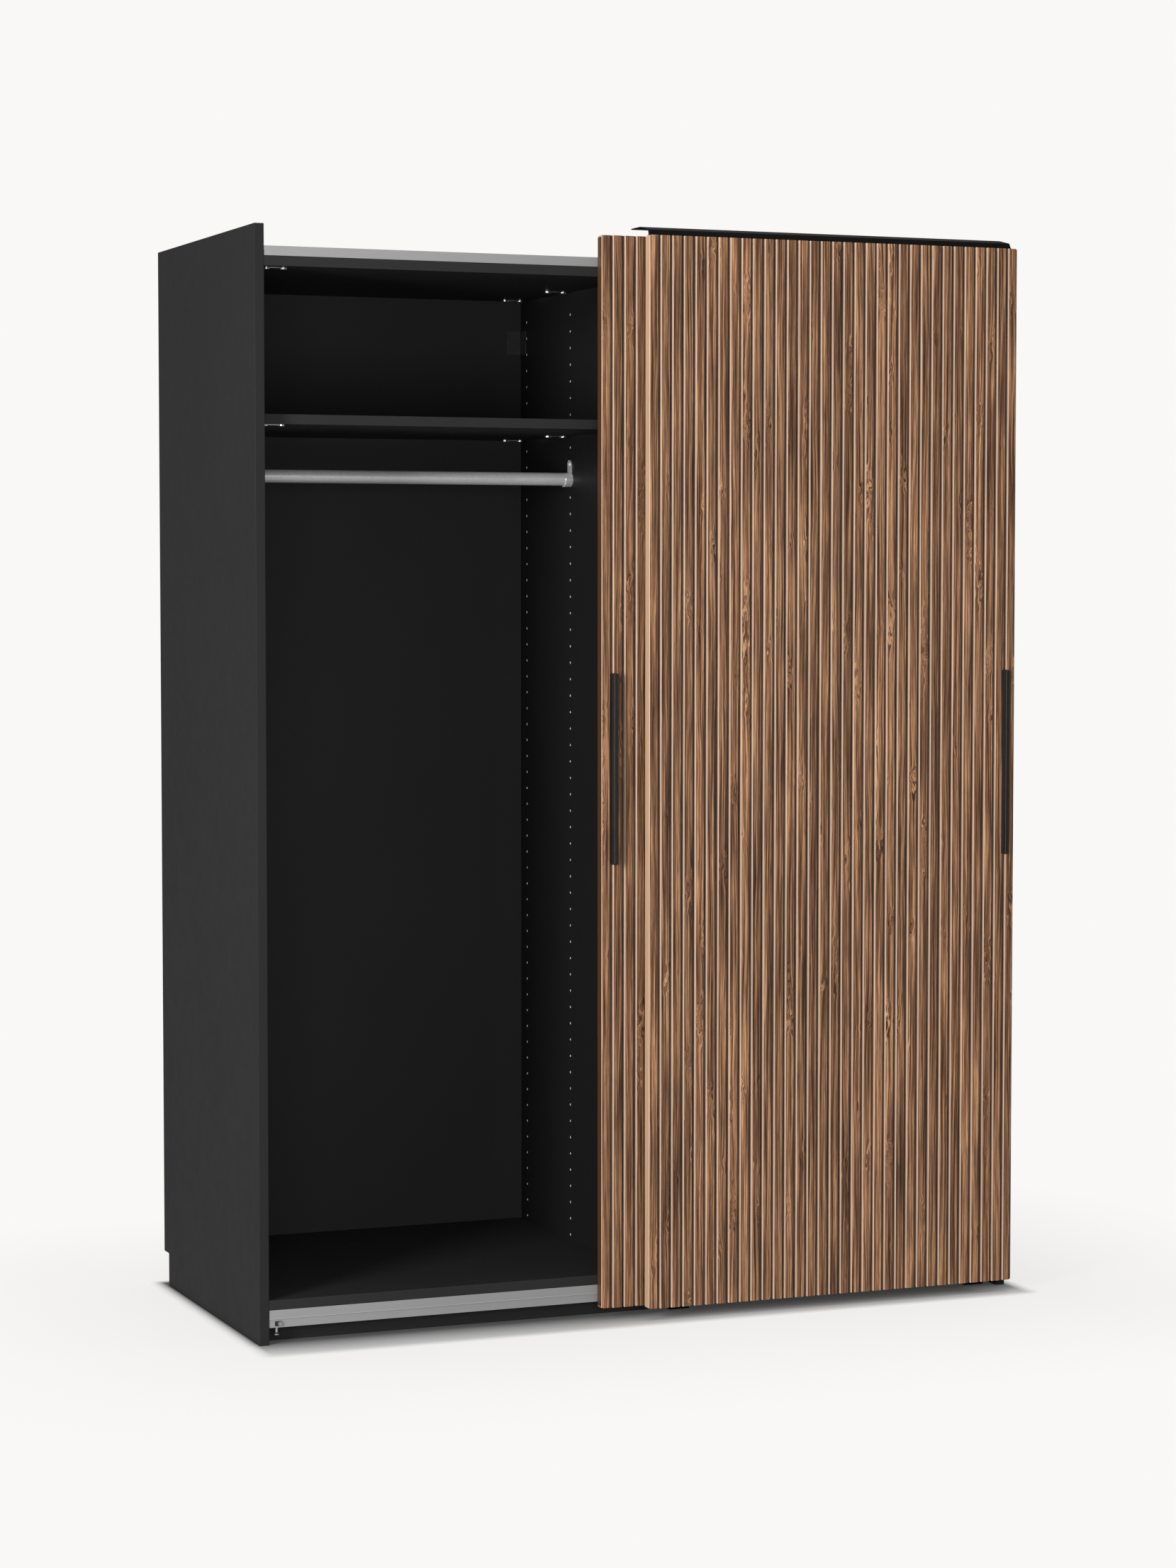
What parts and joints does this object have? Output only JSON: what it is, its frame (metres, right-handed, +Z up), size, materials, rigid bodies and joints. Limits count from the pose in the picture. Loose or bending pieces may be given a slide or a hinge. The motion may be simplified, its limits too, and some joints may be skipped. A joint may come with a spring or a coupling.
{
  "type": "sliding door wardrobe",
  "caption": "Free-standing wardrobe with ribbed sliding doors on separate tracks, open-fronted compartments, shelves and clothes rails.",
  "frame": {"origin": "centre of the whole object's footprint, on the floor", "axes": "+Z up; +X to the right as seen from the front; the doors face -Y"},
  "size_m": [1.512, 0.71, 2.02],
  "materials": {
    "dark_board": "matt anthracite laminate on chipboard",
    "walnut_ribs": "satin walnut finish on upright ribs",
    "black_handle": "matt black powder coat",
    "black_sheet": "matt black powder coat",
    "aluminium_rail": "satin anodised",
    "chrome_tube": "satin chrome plate",
    "nickel_fitting": "nickel plate",
    "zinc_steel": "zinc plated sheet",
    "zinc_screws": "zinc plated",
    "wheel_plastic": "grey acetal",
    "slider_plastic": "black nylon",
    "black_plastic": "black nylon",
    "rubber_stop": "black rubber",
    "beech_dowel": "plain beech"
  },
  "bodies": {
    "cabinet": {"back_corner_brackets": "black_sheet", "bottom_guide_rail": "aluminium_rail", "bottom_panel": "dark_board", "bottom_rail_screws": "zinc_screws", "bottom_rail_stop_clamps": "black_plastic", "bottom_rail_stop_pins": "nickel_fitting", "bottom_rail_stop_screws": "zinc_screws", "centre_foot_pad": "black_plastic", "centre_foot_sleeve": "black_plastic", "centre_partition": "dark_board", "clothes_rail_brackets": "chrome_tube", "clothes_rail_screws": "zinc_screws", "corner_bracket_screws": "zinc_screws", "front_plinth": "dark_board", "left_back_panel": "dark_board", "left_clothes_rail": "chrome_tube", "left_shelf": "dark_board", "left_shelf_connectors": "nickel_fitting", "left_side_panel": "dark_board", "panel_dowels": "beech_dowel", "rear_plinth": "dark_board", "right_back_panel": "dark_board", "right_clothes_rail": "chrome_tube", "right_shelf": "dark_board", "right_shelf_connectors": "nickel_fitting", "right_side_panel": "dark_board", "top_panel": "dark_board", "top_panel_connectors": "nickel_fitting", "top_rail_screws": "zinc_screws", "top_rail_stops": "rubber_stop", "top_running_rail": "aluminium_rail"},
    "rear_door": {"rear_door_axles": "zinc_steel", "rear_door_guide_arms": "zinc_steel", "rear_door_guide_screws": "zinc_screws", "rear_door_guide_sliders": "slider_plastic", "rear_door_handle": "black_handle", "rear_door_handle_screws": "zinc_screws", "rear_door_hanger_screws": "zinc_screws", "rear_door_hangers": "zinc_steel", "rear_door_panel": "walnut_ribs"},
    "rear_wheel_1": {"rear_door_wheel_1": "wheel_plastic"},
    "rear_wheel_2": {"rear_door_wheel_2": "wheel_plastic"},
    "rear_wheel_3": {"rear_door_wheel_3": "wheel_plastic"},
    "rear_wheel_4": {"rear_door_wheel_4": "wheel_plastic"},
    "front_door": {"front_door_axles": "zinc_steel", "front_door_cover_profile": "black_sheet", "front_door_cover_screws": "zinc_screws", "front_door_guide_arms": "zinc_steel", "front_door_guide_screws": "zinc_screws", "front_door_guide_sliders": "slider_plastic", "front_door_handle": "black_handle", "front_door_handle_screws": "zinc_screws", "front_door_hangers": "zinc_steel", "front_door_panel": "walnut_ribs"},
    "front_wheel_1": {"front_door_wheel_1": "wheel_plastic"},
    "front_wheel_2": {"front_door_wheel_2": "wheel_plastic"},
    "front_wheel_3": {"front_door_wheel_3": "wheel_plastic"},
    "front_wheel_4": {"front_door_wheel_4": "wheel_plastic"}
  },
  "joints": [
    {"name": "rear_door_slide", "type": "slide", "parent": "cabinet", "child": "rear_door", "axis": [1, 0, 0], "range_m": [-0.633, 0]},
    {"name": "front_door_slide", "type": "slide", "parent": "cabinet", "child": "front_door", "axis": [1, 0, 0], "range_m": [-0.633, 0]},
    {"name": "rear_wheel_1_spin", "type": "hinge", "parent": "rear_door", "child": "rear_wheel_1", "pos_m": [-0.041, -0.255, 1.9668], "axis": [0, 1, 0], "range_deg": [-2903, 1]},
    {"name": "rear_wheel_2_spin", "type": "hinge", "parent": "rear_door", "child": "rear_wheel_2", "pos_m": [0.015, -0.255, 1.9668], "axis": [0, 1, 0], "range_deg": [-2903, 1]},
    {"name": "rear_wheel_3_spin", "type": "hinge", "parent": "rear_door", "child": "rear_wheel_3", "pos_m": [0.539, -0.255, 1.9668], "axis": [0, 1, 0], "range_deg": [-2903, 1]},
    {"name": "rear_wheel_4_spin", "type": "hinge", "parent": "rear_door", "child": "rear_wheel_4", "pos_m": [0.595, -0.255, 1.9668], "axis": [0, 1, 0], "range_deg": [-2903, 1]},
    {"name": "front_wheel_1_spin", "type": "hinge", "parent": "front_door", "child": "front_wheel_1", "pos_m": [0.038, -0.215, 1.9668], "axis": [0, 1, 0], "range_deg": [-2903, 1]},
    {"name": "front_wheel_2_spin", "type": "hinge", "parent": "front_door", "child": "front_wheel_2", "pos_m": [0.094, -0.215, 1.9668], "axis": [0, 1, 0], "range_deg": [-2903, 1]},
    {"name": "front_wheel_3_spin", "type": "hinge", "parent": "front_door", "child": "front_wheel_3", "pos_m": [0.618, -0.215, 1.9668], "axis": [0, 1, 0], "range_deg": [-2903, 1]},
    {"name": "front_wheel_4_spin", "type": "hinge", "parent": "front_door", "child": "front_wheel_4", "pos_m": [0.674, -0.215, 1.9668], "axis": [0, 1, 0], "range_deg": [-2903, 1]}
  ],
  "couplings": [
    {"joint": "rear_wheel_1_spin", "follows": "rear_door_slide", "rad_per_m": 80},
    {"joint": "rear_wheel_2_spin", "follows": "rear_door_slide", "rad_per_m": 80},
    {"joint": "rear_wheel_3_spin", "follows": "rear_door_slide", "rad_per_m": 80},
    {"joint": "rear_wheel_4_spin", "follows": "rear_door_slide", "rad_per_m": 80},
    {"joint": "front_wheel_1_spin", "follows": "front_door_slide", "rad_per_m": 80},
    {"joint": "front_wheel_2_spin", "follows": "front_door_slide", "rad_per_m": 80},
    {"joint": "front_wheel_3_spin", "follows": "front_door_slide", "rad_per_m": 80},
    {"joint": "front_wheel_4_spin", "follows": "front_door_slide", "rad_per_m": 80}
  ]
}
